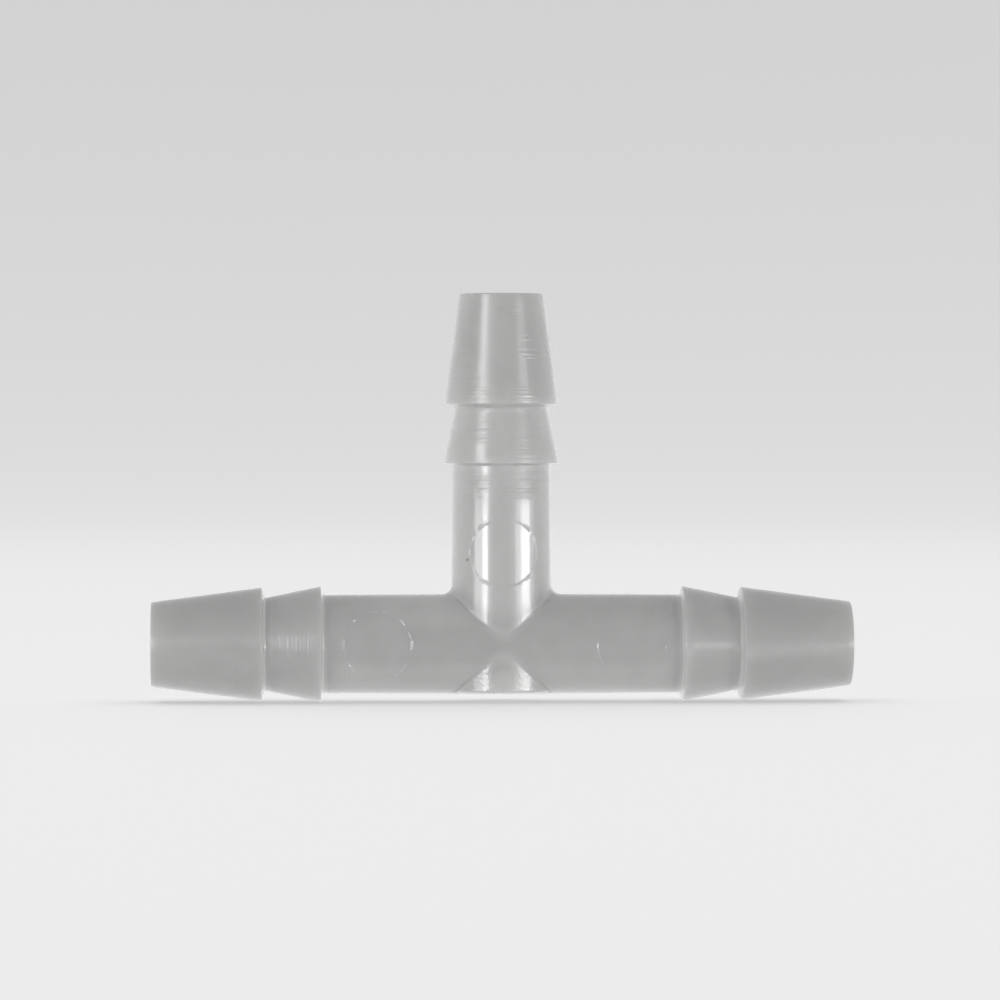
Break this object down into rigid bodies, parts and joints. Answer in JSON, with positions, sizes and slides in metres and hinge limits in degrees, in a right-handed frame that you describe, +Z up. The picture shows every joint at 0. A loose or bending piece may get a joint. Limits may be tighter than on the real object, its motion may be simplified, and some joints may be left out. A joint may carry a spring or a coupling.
{
  "type": "barbed tee connector",
  "caption": "Equal barbed tee in translucent natural plastic: a straight run and a branch square to it, each leg ending in stepped hose barbs.",
  "frame": {"origin": "on the surface that the barbs of the run touch, straight below the point where the centrelines of run and branch cross", "axes": "+X along the run, from the left leg to the right leg; +Z up along the branch; -Y is the front, the side that the ejector pins marked"},
  "size_m": [0.07, 0.0116, 0.0408],
  "materials": {
    "natural_polypropylene": "uncoloured polypropylene as moulded, milky and translucent, with a satin gloss"
  },
  "bodies": {
    "root": {"tee_hub": "natural_polypropylene", "left_spigot": "natural_polypropylene", "right_spigot": "natural_polypropylene", "branch_spigot": "natural_polypropylene"}
  },
  "joints": []
}
